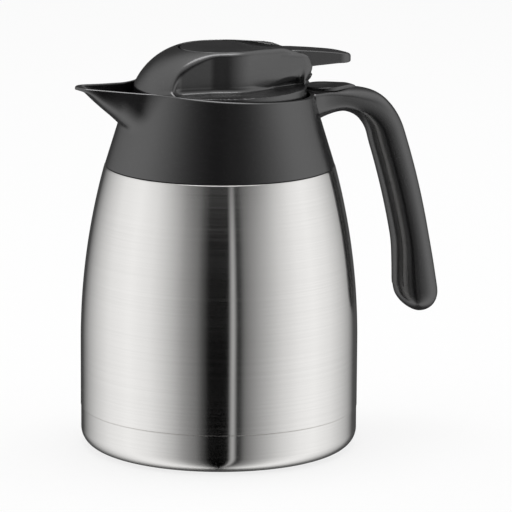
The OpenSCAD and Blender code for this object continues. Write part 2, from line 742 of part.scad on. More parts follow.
module lever() {
    dish_r = (pow(disc_r - 2, 2) + pow(dish_depth, 2)) / (2 * dish_depth);
    color(charcoal) difference() {
        union() {
            intersection() {
                translate([0, 0, ledge_z]) linear_extrude(height = 30) {
                    tapered_bar(disc_r, neck_half_w, neck_x);
                    translate([neck_x, -neck_half_w]) square([10, 2 * neck_half_w]);
                    translate([pivot_x + 10, -paddle_half_w])
                        square([lever_len - paddle_half_w - 10, 2 * paddle_half_w]);
                    translate([lever_reach - paddle_half_w, 0]) circle(paddle_half_w, $fn = 64);
                }
                lever_side();
            }
            // ears that hold the link pin under the round end
            for (s = [-1, 1]) translate([0, s * (ear_y + ear_t / 2), link_z]) {
                rotate([90, 0, 0]) cylinder(h = ear_t, r = ear_r, center = true, $fn = 48);
                translate([-ear_r, -ear_t / 2, 0]) cube([2 * ear_r, ear_t, disc_top_z - disc_t + 0.5 - link_z]);
            }
        }
        translate([0, 0, disc_top_z - dish_depth + dish_r]) sphere(r = dish_r, $fn = 128);
        // below the round end the neck is narrow enough for its slot
        for (y = [-2 * disc_r, neck_half_w]) translate([0, y, ledge_z])
            cube([pivot_x + 10, 2 * disc_r - neck_half_w, lever_rise - disc_t]);
        // hollow under the round end and under the paddle
        translate([0, 0, ledge_z]) linear_extrude(height = lever_rise - dish_depth - 2) difference() {
            circle(disc_r - 2, $fn = 96);
            square([2 * ear_r + 4, 2 * (ear_y + ear_t)], center = true);
            translate([pivot_x - 12, -15]) square([20, 30]);
        }
        translate([pivot_x + 10, -paddle_half_w + 2, ledge_z])
            cube([lever_len - 18, 2 * paddle_half_w - 4, lever_rise - 8.6]);
        translate([pivot_x, 0, pivot_z]) rotate([90, 0, 0])
            cylinder(h = 40, r = pivot_r + fit_gap, center = true, $fn = 48);
        translate([0, 0, link_z]) rotate([90, 0, 0]) cylinder(h = 40, r = link_pin_r + 0.02, center = true, $fn = 48);
    }
}

module lever_pin() {
    color("lightgray") translate([pivot_x, 0, pivot_z]) rotate([90, 0, 0])
        cylinder(h = 2 * (slot_half_w + 2.6), r = pivot_r, center = true, $fn = 48);
}

module stem_pin() {
    color("lightgray") translate([0, 0, link_z]) rotate([90, 0, 0])
        cylinder(h = 2 * (ear_y + ear_t), r = link_pin_r, center = true, $fn = 48);
}

module valve_stem() {
    color("white") difference() {
        union() {
            translate([0, 0, seat_z - retainer_t + seat_gap - 0.6])
                cylinder(h = link_z - 4 - seat_z + retainer_t - seat_gap + 0.6, r = stem_r, $fn = 64);
            translate([-2.6, -tongue_t / 2, link_z - 4.5]) cube([5.2, tongue_t, 7]);
        }
        for (x = [-0.4, 0.4]) translate([x, 0, link_z]) rotate([90, 0, 0])
            cylinder(h = 20, r = link_pin_r + 0.1, center = true, $fn = 48);
        translate([-0.4, -10, link_z - link_pin_r - 0.1]) cube([0.8, 20, 2 * link_pin_r + 0.2]);
    }
}

module valve_plate() {
    color("white") {
        tube_ring(stem_r + fit_gap, valve_r, plate_z, plate_z + plate_t);
        tube_ring(stem_r + fit_gap, stem_r + 1.4, plate_z + plate_t - 0.1, hub_top_z);
    }
}

module valve_gasket() {
    color(silicone) tube_ring(stem_r + fit_gap, valve_r - 0.3, seat_z + seat_gap, plate_z);
}

module valve_retainer() {
    color("lightgray") tube_ring(stem_r + fit_gap, retainer_r, seat_z + seat_gap - retainer_t, seat_z + seat_gap);
}

module return_spring() {
    z0 = plate_z + plate_t + wire_d / 2;
    z1 = deck_z - wire_d / 2;
    per_turn = 12;
    total = spring_turns * per_turn;
    color("lightgray") skin([for (i = [0 : total])
        let (a = 360 * i / per_turn, z = z0 + (z1 - z0) * i / total)
        [for (k = [0 : 5])
            let (b = 60 * k, r = coil_r + wire_d / 2 * cos(b))
            [r * cos(a), r * sin(a), z + wire_d / 2 * sin(b)]]]);
}

outer_shell();
base_shell();
base_plate();
vacuum_seal();
inner_flask();
collar();
mouth_gasket();
shoulder_seal();
handle();
handle_inner_strip();
handle_screws();
thumb_rest();
stopper_gasket();
stopper_body();
stopper_cover();
cover_screws();
stem_seal();
lever();
lever_pin();
stem_pin();
valve_stem();
valve_plate();
valve_gasket();
valve_retainer();
return_spring();
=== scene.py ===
# %% [markdown]
# # A thermal carafe, built up in Blender
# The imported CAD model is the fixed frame: every new piece takes its place from it and moves with one of
# its bodies. Steel parts are spun, the handle is swept, and the moulded parts start from their CAD node
# and get the soft edges and fillets that a mould gives them. Tables and shapes are written in
# millimetres, as a maker thinks, and become metres when they are put into a mesh.

# %% Load the frame
import json
import math
import bmesh
import bpy
import numpy as np
from mathutils import Matrix, Vector

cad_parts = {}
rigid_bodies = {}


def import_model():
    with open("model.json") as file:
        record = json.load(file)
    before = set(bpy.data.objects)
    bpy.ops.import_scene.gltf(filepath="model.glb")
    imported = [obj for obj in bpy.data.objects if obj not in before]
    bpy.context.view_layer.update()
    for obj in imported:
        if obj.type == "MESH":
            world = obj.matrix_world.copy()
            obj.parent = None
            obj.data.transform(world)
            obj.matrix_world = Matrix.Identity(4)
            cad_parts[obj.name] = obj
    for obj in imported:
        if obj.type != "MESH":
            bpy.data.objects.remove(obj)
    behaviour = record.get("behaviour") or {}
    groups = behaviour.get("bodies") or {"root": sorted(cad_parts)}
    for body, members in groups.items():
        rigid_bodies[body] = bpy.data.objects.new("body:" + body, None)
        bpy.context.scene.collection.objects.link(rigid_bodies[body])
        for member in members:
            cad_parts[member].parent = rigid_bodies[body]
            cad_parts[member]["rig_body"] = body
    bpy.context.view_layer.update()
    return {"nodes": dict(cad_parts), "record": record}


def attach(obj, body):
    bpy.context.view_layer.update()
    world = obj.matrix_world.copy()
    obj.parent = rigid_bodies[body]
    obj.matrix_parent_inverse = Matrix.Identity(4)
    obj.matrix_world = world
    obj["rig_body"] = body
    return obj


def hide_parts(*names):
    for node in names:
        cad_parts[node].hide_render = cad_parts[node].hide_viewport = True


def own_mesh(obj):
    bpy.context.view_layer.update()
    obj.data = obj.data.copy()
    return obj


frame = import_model()
MM = 0.001

# %% [markdown]
# ## The camera
# The picture was taken from far away with a long lens, about 12 degrees above the horizon, with the
# handle turned 20 degrees away. A long lens keeps the sides of the body parallel, so the camera stands
# more than two metres off. Its axes are set as a matrix, which leaves nothing to guess about its turn.

# %% Place the camera
PITCH = math.radians(11.84)
TURN = math.radians(20)
ROLL = math.radians(0.36)
CAMERA_AT = (-0.7345, -2.0739, 0.5609)
LENS, SENSOR, SIGHT = 302.7, 36, 50
forward = Vector((math.sin(TURN) * math.cos(PITCH), math.cos(TURN) * math.cos(PITCH), -math.sin(PITCH)))
right = Vector((math.cos(TURN), -math.sin(TURN), 0))
axes = Matrix((right, right.cross(forward), -forward)).transposed()
camera = bpy.data.objects.new("camera", bpy.data.cameras.new("camera"))
bpy.context.scene.collection.objects.link(camera)
camera.matrix_world = Matrix.Translation(CAMERA_AT) @ axes.to_4x4() @ Matrix.Rotation(ROLL, 4, "Z")
camera.data.lens = LENS
camera.data.sensor_width = SENSOR
camera.data.clip_end = SIGHT
bpy.context.scene.camera = camera
print("camera at", [round(v, 3) for v in camera.location])

# %% [markdown]
# ## The light
# Steel shows its surroundings, so the studio matters more than the lamps. This one has a large soft
# light on each side, darkness where the camera stands, and a narrow bright slit in that darkness. All
# of it is drawn in the world by direction, which gives no noise and looks the same from any seat. The
# camera itself sees plain white. Higher up the lights lie further apart, as the sloping collar shows.
# A stop is an angle round the horizon, counted from the camera, and the tone of the studio there.

# %% List the tones of the studio
STUDIO = [
    (-180, 0.06), (-156, 0.06), (-146, 0.26), (-136, 0.45), (-122, 0.66), (-104, 0.88), (-80, 1.0),
    (-60, 0.88), (-48, 0.70), (-38, 0.52), (-30, 0.34), (-24, 0.25), (-18.5, 0.18), (-13.5, 0.07),
    (-8, 0.0), (9, 0.0), (10.6, 0.42), (13.2, 0.46), (14.8, 0.02), (18, 0.03), (22, 0.17), (32, 0.34),
    (43, 0.52), (54, 0.72), (71, 0.93), (86, 1.0), (106, 0.86), (124, 0.62), (137, 0.42), (150, 0.08),
    (180, 0.06)
]
STUDIO_HIGH = [
    (-180, 0.06), (-160, 0.1), (-146, 0.4), (-132, 0.7), (-107, 0.84), (-94, 0.82), (-80, 0.72),
    (-68, 0.56), (-57, 0.42), (-46, 0.25), (-37, 0.13), (-28, 0.06), (-18, 0.02), (-6, 0.0), (8, 0.0),
    (16, 0.01), (28, 0.04), (39, 0.09), (50, 0.2), (60, 0.36), (72, 0.56), (83, 0.72), (97, 0.86),
    (111, 0.94), (130, 0.88), (146, 0.6), (160, 0.2), (180, 0.06)
]
HIGH_FROM, HIGH_FULL = 0.25, 0.4
CEILING_FROM, CEILING_FULL, CEILING_TONE = 0.5, 0.85, 0.9
print("studio:", len(STUDIO), "tones round the horizon and", len(STUDIO_HIGH), "above it")

# %% [markdown]
# Node trees are long to write by hand. One helper adds a node and fills its sockets, with a value or with
# a link, and the ones after it make a colour ramp and a mix of two colours out of it.

# %% Helpers for node trees
def node(tree, kind, inputs=None, **settings):
    """Adds a shader node, sets its inputs and settings, and returns it."""
    made = tree.nodes.new("ShaderNode" + kind)
    for name, value in settings.items():
        setattr(made, name, value)
    for name, value in (inputs or {}).items():
        if isinstance(value, bpy.types.NodeSocket):
            tree.links.new(value, made.inputs[name])
        else:
            made.inputs[name].default_value = value
    return made


def ramp(tree, factor, stops):
    """A colour ramp over grey stops given as (place, tone)."""
    made = node(tree, "ValToRGB", {"Fac": factor})
    bar = made.color_ramp
    while len(bar.elements) > 1:
        bar.elements.remove(bar.elements[-1])
    bar.elements[0].position = stops[0][0]
    bar.elements[0].color = (*[stops[0][1]] * 3, 1)
    for place, tone in stops[1:]:
        bar.elements.new(place).color = (*[tone] * 3, 1)
    return made.outputs["Color"]


def mixed(tree, share, first, second):
    """A colour between two others, by a share."""
    return node(tree, "Mix", {0: share, 6: first, 7: second}, data_type="RGBA").outputs[2]


print("a grey stop is a place and a tone, such as", STUDIO[0])

# %% [markdown]
# The direction that a ray looks in is turned into an angle round the horizon, and the ramps are read
# with it. The height of that direction says how much of the upper ramp and of the ceiling there is.

# %% Draw the studio in the world
world = bpy.data.worlds.new("studio")
bpy.context.scene.world = world
world.use_nodes = True
sky = world.node_tree
sky.nodes.clear()
look = node(sky, "TexCoord").outputs["Generated"]
ahead, aside = [
    node(sky, "VectorMath", {0: look, 1: way}, operation="DOT_PRODUCT")
    for way in ((-math.sin(TURN), -math.cos(TURN), 0), (math.cos(TURN), -math.sin(TURN), 0))
]
turn = node(sky, "Math", {0: aside.outputs["Value"], 1: ahead.outputs["Value"]}, operation="ARCTAN2")
share = node(sky, "Math", {0: turn.outputs[0], 1: 1 / math.tau, 2: 0.5}, operation="MULTIPLY_ADD")
low_tone = ramp(sky, share.outputs[0], [(0.5 + a / 360, t) for a, t in STUDIO])
high_tone = ramp(sky, share.outputs[0], [(0.5 + a / 360, t) for a, t in STUDIO_HIGH])
height = node(sky, "SeparateXYZ", {0: look}).outputs["Z"]
high_share = ramp(sky, height, [(0, 0), (HIGH_FROM, 0), (HIGH_FULL, 1)])
round_tone = mixed(sky, high_share, low_tone, high_tone)
ceiling = ramp(sky, height, [(0, 0), (CEILING_FROM, 0), (CEILING_FULL, 1)])
studio = mixed(sky, ceiling, round_tone, (CEILING_TONE, CEILING_TONE, CEILING_TONE, 1))
rays = node(sky, "LightPath").outputs
seen = node(
    sky, "Math", {0: rays["Is Camera Ray"], 1: rays["Is Transmission Ray"]}, operation="MAXIMUM"
).outputs[0]
shown = mixed(sky, seen, studio, (1, 1, 1, 1))
light = node(sky, "Background", {"Color": shown, "Strength": 1.0})
sky.links.new(light.outputs[0], node(sky, "OutputWorld").inputs["Surface"])
bpy.context.scene.view_settings.view_transform = "Standard"
print("world nodes:", len(sky.nodes))

# %% [markdown]
# ## The floor
# The carafe stands on a plain white sheet. The camera sees it as part glow and part lit sheet, so it is
# white and still keeps the soft shadow. Steel looks through it at the studio, as it would at a sweep
# that curves up out of sight. One weak round lamp overhead gives the shadow its place.

# %% Lay the floor and hang the lamp
FLOOR_R, GLOW = 9.0, 0.75
LAMP_AT, LAMP_SIZE, LAMP_WATTS = (0.1, 0.2, 2.2), 1.6, 18


def material(name):
    """A new node material, with its Principled shader and its tree."""
    made = bpy.data.materials.new(name)
    made.use_nodes = True
    return made, made.node_tree, made.node_tree.nodes["Principled BSDF"]


floor_paint, tree, shader = material("floor_white")
shader.inputs["Base Color"].default_value = (0.95, 0.95, 0.95, 1)
shader.inputs["Roughness"].default_value = 0.9
shader.inputs["Specular IOR Level"].default_value = 0.0
rays = node(tree, "LightPath").outputs
glow = node(tree, "Math", {0: rays["Is Camera Ray"], 1: GLOW}, operation="MULTIPLY").outputs[0]
white = node(tree, "Emission").outputs[0]
sheet = node(tree, "MixShader", {0: glow, 1: shader.outputs[0], 2: white}).outputs[0]
clear = node(tree, "BsdfTransparent").outputs[0]
lit = node(tree, "MixShader", {0: rays["Is Glossy Ray"], 1: sheet, 2: clear})
tree.links.new(lit.outputs[0], tree.nodes["Material Output"].inputs["Surface"])
bm = bmesh.new()
bmesh.ops.create_circle(bm, cap_ends=True, segments=64, radius=FLOOR_R)
floor = bpy.data.objects.new("floor", bpy.data.meshes.new("floor"))
bm.to_mesh(floor.data)
bm.free()
floor.data.materials.append(floor_paint)
bpy.context.scene.collection.objects.link(floor)
lamp = bpy.data.objects.new("overhead", bpy.data.lights.new("overhead", "AREA"))
lamp.data.shape = "DISK"
lamp.data.size = LAMP_SIZE
lamp.data.energy = LAMP_WATTS
lamp.location = LAMP_AT
bpy.context.scene.collection.objects.link(lamp)
print("floor radius", FLOOR_R, "m, lamp", lamp.data.energy, "W")

# %% [markdown]
# ## Finishes
# Each finish is a small node tree on Object coordinates, so it stays put on its piece. Brushed steel is
# a metal whose fine lines run round the body: noise that is squeezed in height and drawn out sideways.
# An anisotropic shader with a tangent round the axis smears reflections across those lines. Moulded
# plastic is a dark satin surface with a fine grain. All finishes share three small helpers: relief from
# noise, and a number or a colour that follows the same noise, so that relief, gloss and colour go together.

# %% Helpers for finishes
NOISE_LOW, NOISE_HIGH = 0.3, 0.7
LINE_DEPTH, GRAIN_DEPTH = 0.00001, 0.00002


def dents(tree, shader, scale, stretch, strength, depth):
    """Fine relief from noise on Object coordinates. Returns the noise, for colour and gloss."""
    place = node(tree, "TexCoord").outputs["Object"]
    mapped = node(tree, "Mapping", {"Vector": place, "Scale": stretch})
    noise = node(tree, "TexNoise", {"Vector": mapped.outputs[0], "Scale": scale, "Detail": 3.0})
    bump = node(tree, "Bump", {"Height": noise.outputs["Fac"], "Strength": strength, "Distance": depth})
    tree.links.new(bump.outputs[0], shader.inputs["Normal"])
    return noise.outputs["Fac"]


def vary(tree, shader, socket, factor, low, high):
    """Lets a number follow a factor between two values."""
    span = {"From Min": NOISE_LOW, "From Max": NOISE_HIGH, "To Min": low, "To Max": high}
    tree.links.new(node(tree, "MapRange", {"Value": factor, **span}).outputs[0], shader.inputs[socket])


def tint(tree, shader, factor, dark, bright):
    """Lets the colour follow a factor between two colours."""
    tree.links.new(mixed(tree, factor, (*dark, 1), (*bright, 1)), shader.inputs["Base Color"])


print("relief is", LINE_DEPTH / MM, "mm on steel and", GRAIN_DEPTH / MM, "mm on plastic")

# %% [markdown]
# Three kinds of surface are enough for the whole carafe: brushed sheet, a moulding of plastic or rubber,
# and small metal that is turned or drawn. Each CAD node then gets the finish of its slot in the record,
# and a new piece takes over the finish of the node that it stands for.

# %% Mix the finishes
def brushed(name, dark, bright, rough, lines=1600, around=5):
    """Steel with fine lines round the Z axis."""
    made, tree, shader = material(name)
    grain = dents(tree, shader, 1.0, (around, around, lines), 0.02, LINE_DEPTH)
    shader.inputs["Metallic"].default_value = 1.0
    shader.inputs["Anisotropic"].default_value = 1.0
    shader.inputs["Anisotropic Rotation"].default_value = 0.25
    vary(tree, shader, "Roughness", grain, rough * 0.85, rough * 1.15)
    tint(tree, shader, grain, dark, bright)
    tangent = node(tree, "Tangent", direction_type="RADIAL", axis="Z")
    tree.links.new(tangent.outputs[0], shader.inputs["Tangent"])
    return made


def moulded(name, dark, bright, rough, grain_scale=2600, relief=0.12, gloss=0.5, ior=1.5):
    """Plastic or rubber with a fine moulded grain."""
    made, tree, shader = material(name)
    grain = dents(tree, shader, grain_scale, (1, 1, 1), relief, GRAIN_DEPTH)
    shader.inputs["Specular IOR Level"].default_value = gloss
    shader.inputs["IOR"].default_value = ior
    vary(tree, shader, "Roughness", grain, rough * 0.9, rough * 1.1)
    tint(tree, shader, grain, dark, bright)
    return made


def drawn(name, dark, bright, rough):
    """Bright turned or drawn metal without a grain direction."""
    made, tree, shader = material(name)
    grain = dents(tree, shader, 900, (1, 1, 1), 0.05, LINE_DEPTH)
    shader.inputs["Metallic"].default_value = 1.0
    vary(tree, shader, "Roughness", grain, rough * 0.8, rough * 1.2)
    tint(tree, shader, grain, dark, bright)
    return made


FINISH = {
    "brushed_steel": brushed("brushed_steel", (0.79, 0.78, 0.765), (0.89, 0.88, 0.865), 0.16),
    "inner_steel": drawn("inner_steel", (0.60, 0.60, 0.60), (0.70, 0.70, 0.70), 0.22),
    "solder": drawn("solder", (0.40, 0.40, 0.41), (0.50, 0.50, 0.51), 0.55),
    "charcoal_plastic": moulded(
        "charcoal_plastic", (0.0055, 0.0052, 0.0056), (0.0085, 0.008, 0.0086), 0.25, relief=0.05,
        gloss=1.0, ior=1.59
    ),
    "black_plastic": moulded("black_plastic", (0.012, 0.012, 0.012), (0.018, 0.018, 0.018), 0.42),
    "white_plastic": moulded("white_plastic", (0.76, 0.76, 0.74), (0.82, 0.82, 0.80), 0.40),
    "silicone": moulded("silicone", (0.70, 0.70, 0.67), (0.78, 0.78, 0.75), 0.55, 1500),
    "black_rubber": moulded("black_rubber", (0.02, 0.02, 0.02), (0.03, 0.03, 0.03), 0.65, 1500),
    "screw_steel": drawn("screw_steel", (0.68, 0.68, 0.69), (0.78, 0.78, 0.79), 0.22),
    "spring_steel": drawn("spring_steel", (0.62, 0.62, 0.62), (0.72, 0.72, 0.72), 0.26),
}
SLOT_OF = {part["node"]: part["material_slot"] for part in frame["record"]["subparts"]}
for name, cad in frame["nodes"].items():
    cad.data.materials.clear()
    cad.data.materials.append(FINISH[SLOT_OF[name]])
print(len(FINISH), "finishes on", len(SLOT_OF), "CAD nodes")

# %% [markdown]
# ## From a mesh to a piece
# Every new piece goes through one door: its mesh is cleaned, it gets its finish, it rides on the same
# body as the CAD node that it stands for, and that node is hidden. Faces that meet at a small angle are
# shaded smooth, and sharper edges stay crisp.

# %% Helpers for new pieces
BODY_OF = {name: cad["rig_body"] for name, cad in frame["nodes"].items()}


def as_piece(name, mesh, *cad_nodes, smooth=40, body=None):
    """Makes an object of a mesh, in the place and finish of the CAD nodes that it stands for."""
    made = bpy.data.objects.new(name, mesh)
    bpy.context.scene.collection.objects.link(made)
    mesh.materials.clear()
    mesh.materials.append(FINISH[SLOT_OF[cad_nodes[0]]])
    if smooth:
        mesh.shade_smooth()
        mesh.set_sharp_from_angle(angle=math.radians(smooth))
    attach(made, body or BODY_OF[cad_nodes[0]])
    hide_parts(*cad_nodes)
    print(name, "has", len(mesh.polygons), "faces")
    return made


def mesh_of(bm, name):
    """Merges doubles, turns the faces outwards and returns the mesh."""
    bmesh.ops.remove_doubles(bm, verts=bm.verts, dist=1e-6)
    bmesh.ops.recalc_face_normals(bm, faces=bm.faces)
    made = bpy.data.meshes.new(name)
    bm.to_mesh(made)
    bm.free()
    return made


# %% [markdown]
# ## The steel body
# The outer wall is drawn from sheet, so it is a body of revolution: one outline, spun once round. The
# outline is closed, outside and inside, which gives the sheet its real thickness. The arc above the
# straight part gets many points, because brushed steel shows every flat.

# %% Helpers for spun pieces
BODY_R, STRAIGHT_Z, DRAW_R = 72.5, 55.0, 354.0
SEAM_Z, JOINT_Z, SHEET = 21.0, 148.7, 0.8


def body_r(z):
    """Radius of the steel body at a height, in millimetres."""
    rise = np.maximum(np.asarray(z, float) - STRAIGHT_Z, 0)
    return BODY_R - DRAW_R + np.sqrt(DRAW_R ** 2 - rise ** 2)


def arc(cx, cz, r, start, end, steps):
    """Points of an arc in an outline, angles in degrees."""
    return [
        (cx + r * math.cos(math.radians(a)), cz + r * math.sin(math.radians(a)))
        for a in np.linspace(start, end, steps + 1)
    ]


def spun(outline, steps=192):
    """Spins an outline of (radius, height) in millimetres round the Z axis."""
    bm = bmesh.new()
    verts = [bm.verts.new((r * MM, 0, z * MM)) for r, z in outline]
    edges = [bm.edges.new(pair) for pair in zip(verts, verts[1:] + verts[:1])]
    bmesh.ops.spin(
        bm, geom=verts + edges, cent=(0, 0, 0), axis=(0, 0, 1), angle=math.tau, steps=steps,
        use_merge=True, use_duplicate=False
    )
    return bm


print("radius at the collar", round(float(body_r(JOINT_Z)), 1), "mm")

# %% [markdown]
# The outer shell's outline runs up the wall, rolls over to the ledge that carries the collar, goes on to
# the neck where the flask is welded in, and comes back inside. The base is a cup of the same sheet, a
# hair smaller, and the narrow groove between the two is the seam that shows near the foot.

# %% Spin the outer shell and the base shell
shoulder_r = float(body_r(JOINT_Z))
ledge_r = shoulder_r - 3.6
wall_z = np.linspace(STRAIGHT_Z, JOINT_Z - 0.9, 60)
neck_r = 35.2
outer = (
    [(BODY_R - 0.25, SEAM_Z + 0.05), (BODY_R, SEAM_Z + 0.3), (BODY_R, SEAM_Z + 6)]
    + [(float(body_r(z)), float(z)) for z in wall_z]
    + arc(shoulder_r - 0.6, JOINT_Z - 0.9, 0.6, 0, 90, 4)
    + [(ledge_r, JOINT_Z - 0.3), (ledge_r, JOINT_Z + 3.3), (ledge_r - 6.3, 158.5), (neck_r + 6, 162)]
    + [(neck_r + 1, 164), (neck_r, 166), (neck_r, 168), (33.6, 168), (33.6, 167.2), (neck_r - 0.8, 167.2)]
    + [(neck_r - 0.8, 165.6), (neck_r + 0.2, 163.4), (neck_r + 5.4, 161.2), (ledge_r - 6.8, 157.8)]
    + [(ledge_r - 0.8, JOINT_Z + 2.9), (ledge_r - 0.8, JOINT_Z - 1.1), (shoulder_r - 0.9, JOINT_Z - 1.1)]
    + [(float(body_r(z)) - SHEET, float(z)) for z in wall_z[::-6]]
    + [(BODY_R - SHEET, SEAM_Z + 0.05)]
)
as_piece("steel_body", mesh_of(spun(outer), "steel_body"), "outer_shell", smooth=30)
BASE_R, FOOT_R = 72.3, 59.7
base = (
    [(2, 2.4), (FOOT_R - 0.4, 2.4), (FOOT_R, 2.0), (FOOT_R, 0.35)]
    + arc(FOOT_R + 0.35, 0.35, 0.35, 180, 270, 3)
    + arc(BASE_R - 9, 9, 9, -90, 0, 16) + [(BASE_R, SEAM_Z - 0.3), (BASE_R - 0.25, SEAM_Z - 0.05)]
    + [(BASE_R - SHEET, SEAM_Z - 0.05)] + arc(BASE_R - 9, 9, 8.2, 0, -90, 12)
    + [(FOOT_R + SHEET, SHEET), (FOOT_R + SHEET, 3.2), (2, 3.2)]
)
as_piece("steel_base", mesh_of(spun(base), "steel_base"), "base_shell", smooth=30)

# %% [markdown]
# ## Shapes with soft joints
# A mould leaves no sharp inner corner, and every outer edge is rounded. Such a form is easy to write as
# a distance: a number that is negative inside the plastic. Two distances join with a fillet or meet
# with a rounded edge, and the vertices of a rough mesh are then moved until the distance is zero.

# %% Helpers for soft shapes
TINY = 0.02


def join(a, b, r):
    """Two shapes together, with a concave fillet of radius r."""
    return np.maximum(r, np.minimum(a, b)) - np.hypot(np.maximum(r - a, 0), np.maximum(r - b, 0))


def meet(a, b, r):
    """What two shapes share, with an edge rounded to r."""
    return np.minimum(-r, np.maximum(a, b)) + np.hypot(np.maximum(r + a, 0), np.maximum(r + b, 0))


def melt(a, b, k):
    """Two shapes together, with a long soft transition."""
    h = np.clip(0.5 + 0.5 * (b - a) / k, 0, 1)
    return b * (1 - h) + a * h - k * h * (1 - h)


def bar_plan(x, y, r1, r2, reach):
    """Distance in plan to two round ends that are joined by straight sides."""
    lean = (r1 - r2) / reach
    flat = np.sqrt(1 - lean * lean)
    side = np.abs(y)
    along = -lean * side + flat * x
    return np.where(
        along < 0, np.hypot(x, y) - r1,
        np.where(along > flat * reach, np.hypot(x - reach, y) - r2, flat * side + lean * x - r1)
    )


def soft_line(x, points, width):
    """Height of a drawn line at x, with its corners softened over a width."""
    xs, zs = zip(*points)
    return sum(np.interp(x + d, xs, zs) for d in np.linspace(-width, width, 9)) / 9


print("1.46 mm off both walls, a 5 mm fillet is", abs(round(float(join(1.46, 1.46, 5.0)), 1)), "mm away")

# %% [markdown]
# A mesh is laid onto such a shape by walking each vertex down the slope of the distance. The mesh comes
# from the CAD node, remeshed into small even squares, so that it already lies within a millimetre or two
# and keeps its hollows and inner walls. The shape also gives exact normals, which shade a fillet cleanly.

# %% Helpers that lay a mesh onto a shape
# Beyond these places lie the lid's crest, its tail and the tail's heel.
CREST_Z, TAIL_X, TAIL_Z, HEEL_X, HEEL_Z = 203, 20, 189, 36, 194.5
FACING, AGREEING, LONGEST_STEP = 0.35, 0.5, 0.8


def slope(shape, p):
    """Gradient of a distance at points in millimetres."""
    steps = np.eye(3) * TINY
    return np.stack([(shape(*(p + s).T) - shape(*(p - s).T)) / (2 * TINY) for s in steps], axis=1)


def settle(mesh, shape, reach=1.7, far=0.0, rounds=9):
    """Moves the vertices near a soft shape onto it, and returns a normal for each vertex.

    A vertex comes from further than half the reach only where it faces the same way as the shape, which
    leaves the inner side of a wall in its place. On the lid's crest and tail it may come from further.
    """
    count = len(mesh.vertices)
    flat = np.empty(count * 3)
    mesh.vertices.foreach_get("co", flat)
    p = flat.reshape(-1, 3) / MM
    facing = np.empty(count * 3)
    mesh.vertices.foreach_get("normal", facing)
    off = np.abs(shape(*p.T))
    g = slope(shape, p)
    same = (g * facing.reshape(-1, 3)).sum(1) > FACING * np.maximum(np.linalg.norm(g, axis=1), 1e-6)
    tail = same & ((p[:, 2] > CREST_Z) | ((p[:, 0] > TAIL_X) & (p[:, 2] > TAIL_Z)))
    tail |= (p[:, 0] > HEEL_X) & (p[:, 2] > HEEL_Z)
    near = (off < reach / 2) | ((off < reach) & same) | ((off < far) & tail)
    q = p[near]
    for _ in range(rounds):
        g = slope(shape, q)
        step = shape(*q.T)[:, None] * g / np.maximum((g * g).sum(1), 0.25)[:, None]
        q = q - np.clip(step, -LONGEST_STEP, LONGEST_STEP)
    p[near] = q
    mesh.vertices.foreach_set("co", (p * MM).ravel())
    mesh.update()
    normals = np.empty(count * 3)
    mesh.vertices.foreach_get("normal", normals)
    normals = normals.reshape(-1, 3)
    g = slope(shape, q)
    g /= np.maximum(np.linalg.norm(g, axis=1), 1e-6)[:, None]
    agree = (g * normals[near]).sum(1) > AGREEING
    normals[np.flatnonzero(near)[agree]] = g[agree]
    return normals


def soft_copy(name, cad_node, shape, voxel, reach=1.7, far=0.0):
    """A fine even mesh of a CAD node, moved onto a soft shape, as a new piece."""
    bm = bmesh.new()
    bm.from_mesh(frame["nodes"][cad_node].data)
    bmesh.ops.remove_doubles(bm, verts=bm.verts, dist=1e-6)
    rough = bpy.data.meshes.new(name + "_rough")
    bm.to_mesh(rough)
    bm.free()
    holder = bpy.data.objects.new(name + "_rough", rough)
    bpy.context.scene.collection.objects.link(holder)
    remesh = holder.modifiers.new("even", "REMESH")
    remesh.mode = "VOXEL"
    remesh.voxel_size = voxel * MM
    mesh = bpy.data.meshes.new_from_object(holder.evaluated_get(bpy.context.evaluated_depsgraph_get()))
    bpy.data.objects.remove(holder)
    mesh.name = name
    normals = settle(mesh, shape, reach, far)
    made = as_piece(name, mesh, cad_node, smooth=0)
    mesh.shade_smooth()
    mesh.normals_split_custom_set_from_vertices(normals)
    return made


print("a vertex moves at most", LONGEST_STEP, "mm in one round")

# %% [markdown]
# ## The collar and its spout
# The collar is a cone, and its spout grows out of it with soft flanks over a rounded keel. Its sections
# are easy to describe, as a circle and a beak that meet in a fillet, so the wall is drawn through such
# sections: each is followed round its outline, and the rings are skinned outside, over the rim and inside.

# %% Describe the collar's outline
CONE_R, CONE_SLOPE, RIM_Z, RIM_FALL, WALL = 59.674, 0.308, 188.3, 0.065, 1.7
NOSE_R = 10.0
DIP = [(34, 0), (48, 0.5), (60, 0.45), (70, 0.3)]
SHELF_Z = 178.0
RIM_R = CONE_R - CONE_SLOPE * (RIM_Z - JOINT_Z)
KEEL = [
    (36, 156.6), (50, 169), (56.6, 174.8), (63.3, 180.6), (66.7, 183.7), (70.1, 187.2), (72.4, 189.4),
    (75, 190.9), (79, 191.8)
]
BEAK = [
    (30, 27.4), (40, 22.9), (57, 15.2), (62, 13.0), (66, 11.4), (69, 10.4), (72, 9.2), (74.5, 7.8),
    (76.5, 5.8), (77.7, 3.7), (78.4, 1.6), (78.9, 0), (80.6, -4)
]
JOIN = [(166, 0.8), (170, 1.6), (176, 2.6), (190, 4)]


def beak(s, y, z, inset):
    """Distance to the spout's solid beak, s being the distance towards its tip."""
    keel = soft_line(s, KEEL, 1.5) + inset * 1.3
    half = soft_line(s, BEAK, 0.6) - inset
    deep = (RIM_Z + RIM_FALL * s - keel) * 0.62
    return meet(np.abs(y) - half, (keel - z) * 0.77, np.clip(deep, 1.2, NOSE_R - inset))


